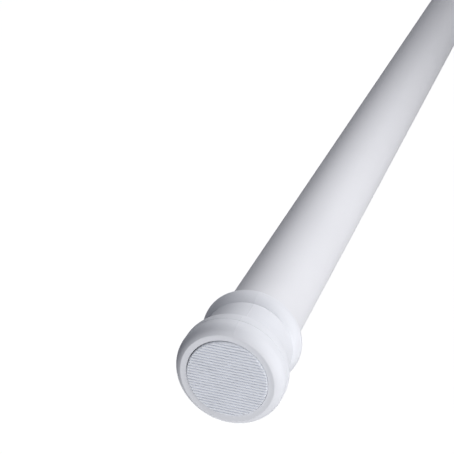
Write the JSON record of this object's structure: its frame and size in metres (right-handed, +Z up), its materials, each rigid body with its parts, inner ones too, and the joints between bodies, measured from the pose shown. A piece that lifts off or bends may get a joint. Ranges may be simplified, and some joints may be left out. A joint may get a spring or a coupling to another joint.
{
  "type": "spring tension rod",
  "caption": "White telescoping spring tension rod with a twist lock and flanged, ribbed-pad end caps that press against two facing walls.",
  "frame": {"origin": "centre of the first end pad's face, where it meets the wall", "axes": "+X along the rod from the outer tube's pad to the inner tube's pad, +Z up with the pads' ribs level along Y"},
  "size_m": [0.8, 0.0344, 0.0344],
  "materials": {
    "painted_tube": "white powder coat, smooth satin",
    "cap_plastic": "moulded white plastic, semi-gloss",
    "pad_rubber": "soft pale grey-white elastomer with moulded ribs",
    "sleeve_plastic": "moulded white plastic, satin",
    "nylon": "natural nylon, moulded",
    "steel": "zinc-plated steel",
    "spring_steel": "drawn spring wire, lightly oiled"
  },
  "bodies": {
    "outer": {"outer_tube": "painted_tube", "outer_end_cap": "cap_plastic", "outer_pad": "pad_rubber", "mouth_sleeve": "sleeve_plastic"},
    "lock_carrier": {"guide_disc": "nylon"},
    "lock_plunger": {"plunger": "nylon", "cam_core": "nylon", "thrust_washer": "steel", "lock_screw": "steel", "stop_washer": "steel", "stop_screw": "steel"},
    "lock_ring": {"cam_ring": "nylon"},
    "inner": {"inner_tube": "painted_tube", "guide_bush": "nylon", "compression_spring": "spring_steel", "spring_seat": "nylon", "seat_pin": "steel", "reducer_bush": "sleeve_plastic", "inner_end_cap": "cap_plastic", "inner_pad": "pad_rubber"}
  },
  "joints": [
    {"name": "length_slide", "type": "slide", "parent": "outer", "child": "lock_carrier", "axis": [1, 0, 0], "range_m": [-0.059, 0.419]},
    {"name": "twist_lock", "type": "hinge", "parent": "lock_carrier", "child": "lock_plunger", "pos_m": [0.1, 0, 0], "axis": [1, 0, 0], "range_deg": [-22, 22]},
    {"name": "ring_shift", "type": "hinge", "parent": "lock_plunger", "child": "lock_ring", "pos_m": [0.113, 0, 0.0015], "axis": [1, 0, 0], "range_deg": [-22, 22]},
    {"name": "spring_stroke", "type": "slide", "parent": "lock_plunger", "child": "inner", "axis": [1, 0, 0], "range_m": [-0.03, 0], "stiffness_N_per_m": 2000, "springref_m": 0.01, "deforming": ["compression_spring"]}
  ],
  "couplings": [
    {"joint": "ring_shift", "follows": "twist_lock", "ratio": -1}
  ]
}
